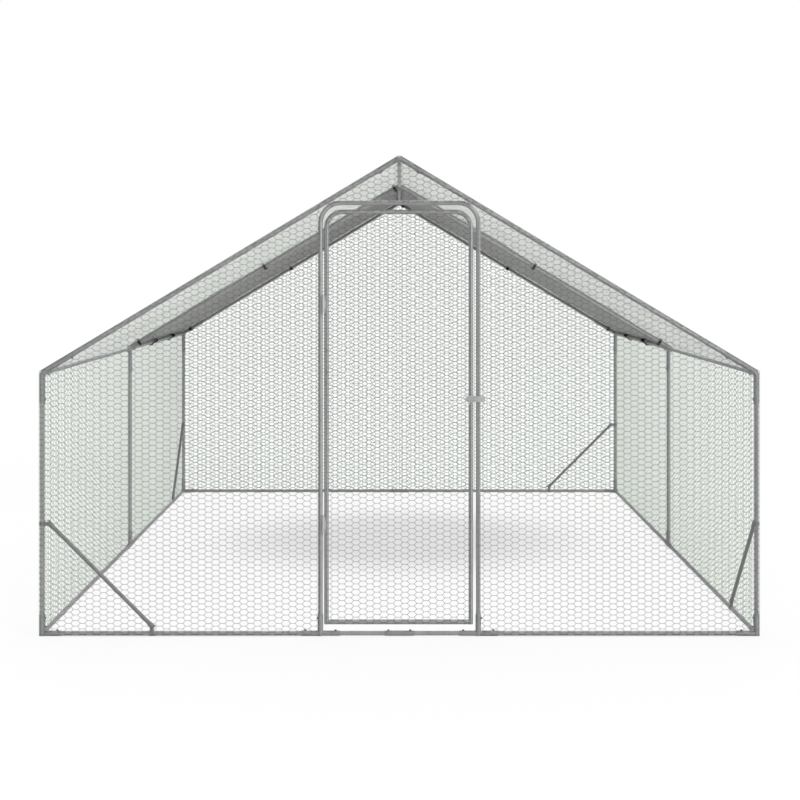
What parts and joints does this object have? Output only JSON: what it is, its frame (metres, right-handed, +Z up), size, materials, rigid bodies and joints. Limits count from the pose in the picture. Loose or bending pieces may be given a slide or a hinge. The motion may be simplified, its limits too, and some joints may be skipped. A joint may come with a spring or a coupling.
{
  "type": "walk-in chicken run",
  "caption": "Walk-in poultry run: gabled steel tube frame with wire netting on walls and roof, a hinged netted door with slide latch, and a fabric cover tied over the rear of the roof.",
  "frame": {"origin": "on the ground, under the middle of the run", "axes": "+X to the right seen from the front, +Y from the door wall to the back wall, +Z up"},
  "size_m": [3.02, 4.0253, 2.0109],
  "materials": {
    "tube": "galvanised tube, dull grey",
    "connector": "galvanised pressed sleeve",
    "screw": "dark zinc screw",
    "hardware": "zinc plated hinge and latch",
    "netting": "galvanised hexagonal wire netting",
    "cover": "grey coated woven fabric",
    "eyelet": "plated eyelet",
    "tie": "black elastic cord and ball"
  },
  "bodies": {
    "run_frame": {"front_left_post": "tube", "front_right_post": "tube", "mid_left_post": "tube", "mid_right_post": "tube", "back_left_post": "tube", "back_right_post": "tube", "front_left_rafter": "tube", "front_right_rafter": "tube", "mid_left_rafter": "tube", "mid_right_rafter": "tube", "back_left_rafter": "tube", "back_right_rafter": "tube", "front_left_eave_rail": "tube", "front_right_eave_rail": "tube", "back_left_eave_rail": "tube", "back_right_eave_rail": "tube", "front_ridge_pole": "tube", "back_ridge_pole": "tube", "front_left_side_rail": "tube", "front_right_side_rail": "tube", "back_left_side_rail": "tube", "back_right_side_rail": "tube", "left_front_base_rail": "tube", "right_front_base_rail": "tube", "left_door_sill": "tube", "right_door_sill": "tube", "left_back_base_rail": "tube", "right_back_base_rail": "tube", "rail_couplers": "connector", "eave_connectors": "connector", "ridge_connectors": "connector", "base_connectors": "connector", "connector_screws": "screw", "corner_braces": "tube", "brace_clamps": "connector", "door_frame_hoop": "tube", "door_frame_clips": "connector", "hinge_post_straps": "hardware", "hinge_pins": "hardware", "latch_keeper": "hardware", "front_left_net": "netting", "front_right_net": "netting", "front_gable_net": "netting", "left_side_net": "netting", "right_side_net": "netting", "back_net": "netting", "left_roof_net": "netting", "right_roof_net": "netting", "roof_cover": "cover", "cover_eyelets": "eyelet", "bungee_loops": "tie", "bungee_balls": "tie"},
    "door_leaf": {"door_leaf_hoop": "tube", "door_leaf_bottom_rail": "tube", "hinge_leaf_straps": "hardware", "latch_case": "hardware", "door_net": "netting"},
    "latch_bolt": {"latch_bolt": "hardware"}
  },
  "joints": [
    {"name": "door_hinge", "type": "hinge", "parent": "run_frame", "child": "door_leaf", "pos_m": [-0.3165, -2.0015, 0.92324], "axis": [0, 0, -1], "range_deg": [0, 150]},
    {"name": "latch_slide", "type": "slide", "parent": "door_leaf", "child": "latch_bolt", "axis": [1, 0, 0], "range_m": [0, 0.016]}
  ]
}
